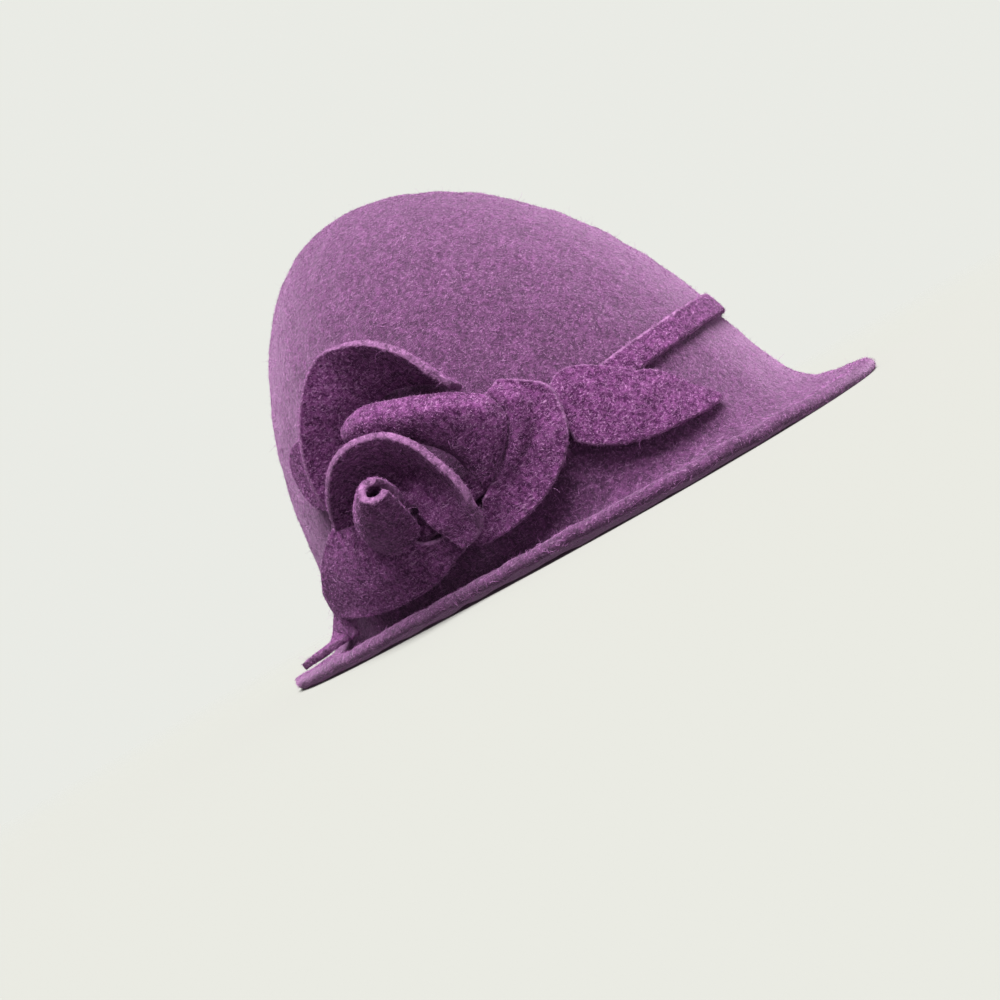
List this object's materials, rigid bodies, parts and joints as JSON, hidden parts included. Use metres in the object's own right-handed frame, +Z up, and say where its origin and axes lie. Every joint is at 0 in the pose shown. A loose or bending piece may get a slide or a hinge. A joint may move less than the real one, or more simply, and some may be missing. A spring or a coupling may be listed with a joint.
{
  "type": "cloche hat",
  "caption": "Felt cloche hat with a tall rounded crown, a narrow band and a short bell-shaped brim, trimmed at the wearer's right with a felt rose and leaves.",
  "frame": {"origin": "middle of the base, on the surface that the brim's edge rests on", "axes": "+Z up through the crown, -Y towards the wearer's front, -X towards the wearer's right, where the rose is"},
  "size_m": [0.2387, 0.292, 0.168],
  "materials": {
    "hat_felt": "purple wool felt, fuzzy",
    "band_felt": "purple wool felt, fuzzy",
    "leaf_felt": "purple wool felt, fuzzy",
    "petal_felt": "purple wool felt, fuzzy"
  },
  "bodies": {
    "root": {"hat_body": "hat_felt", "band": "band_felt", "front_leaf": "leaf_felt", "back_leaf": "leaf_felt", "back_petal": "petal_felt", "upper_petal": "petal_felt", "front_petal": "petal_felt", "lower_petal": "petal_felt", "middle_petal": "petal_felt", "inner_petal": "petal_felt", "bud": "petal_felt"}
  },
  "joints": []
}
